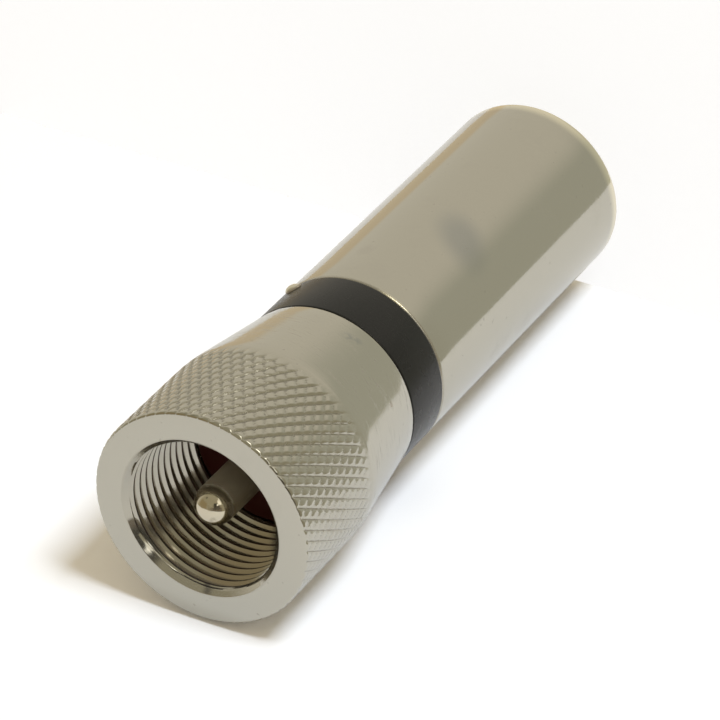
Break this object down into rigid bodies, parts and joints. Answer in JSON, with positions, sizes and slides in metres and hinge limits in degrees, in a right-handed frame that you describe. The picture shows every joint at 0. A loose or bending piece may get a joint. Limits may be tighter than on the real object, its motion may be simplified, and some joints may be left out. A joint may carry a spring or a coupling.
{
  "type": "uhf connector",
  "caption": "Straight coaxial cable plug: knurled coupling nut with an internal thread and a solid centre pin, black spacer ring, long plain plated barrel with a cable clamp inside.",
  "frame": {"origin": "centre of the barrel's open rear end, on the surface that the plug stands on", "axes": "+Z along the plug's axis, from the cable end to the mouth of the coupling nut; X and Y are free, since the outside is a body of revolution"},
  "size_m": [0.0216, 0.0216, 0.0655],
  "materials": {
    "nut_chrome": "polished nickel chrome over knurled brass, fine scratches",
    "barrel_chrome": "polished nickel chrome, smudged",
    "body_nickel": "nickel plated turned brass",
    "pin_nickel": "warm bright nickel plate",
    "bronze": "plain turned brass",
    "red_phenolic": "dark red pressed phenolic",
    "black_plastic": "satin black moulded plastic",
    "gasket_rubber": "black rubber"
  },
  "bodies": {
    "plug": {"plug_body": "body_nickel", "front_insulator": "red_phenolic", "center_pin": "pin_nickel", "rear_insulator": "red_phenolic", "spacer_ring": "black_plastic", "barrel": "barrel_chrome", "braid_clamp": "bronze", "cable_gasket": "gasket_rubber", "gland_washer": "bronze", "gland_nut": "body_nickel"},
    "washer": {"slip_washer": "bronze"},
    "nut": {"coupling_nut": "nut_chrome"}
  },
  "joints": [
    {"name": "nut_slide", "type": "slide", "parent": "plug", "child": "washer", "axis": [0, 0, 1], "range_m": [0, 0.0015]},
    {"name": "nut_turn", "type": "hinge", "parent": "washer", "child": "nut", "pos_m": [0, 0, 0.05], "axis": [0, 0, 1], "continuous": true}
  ]
}
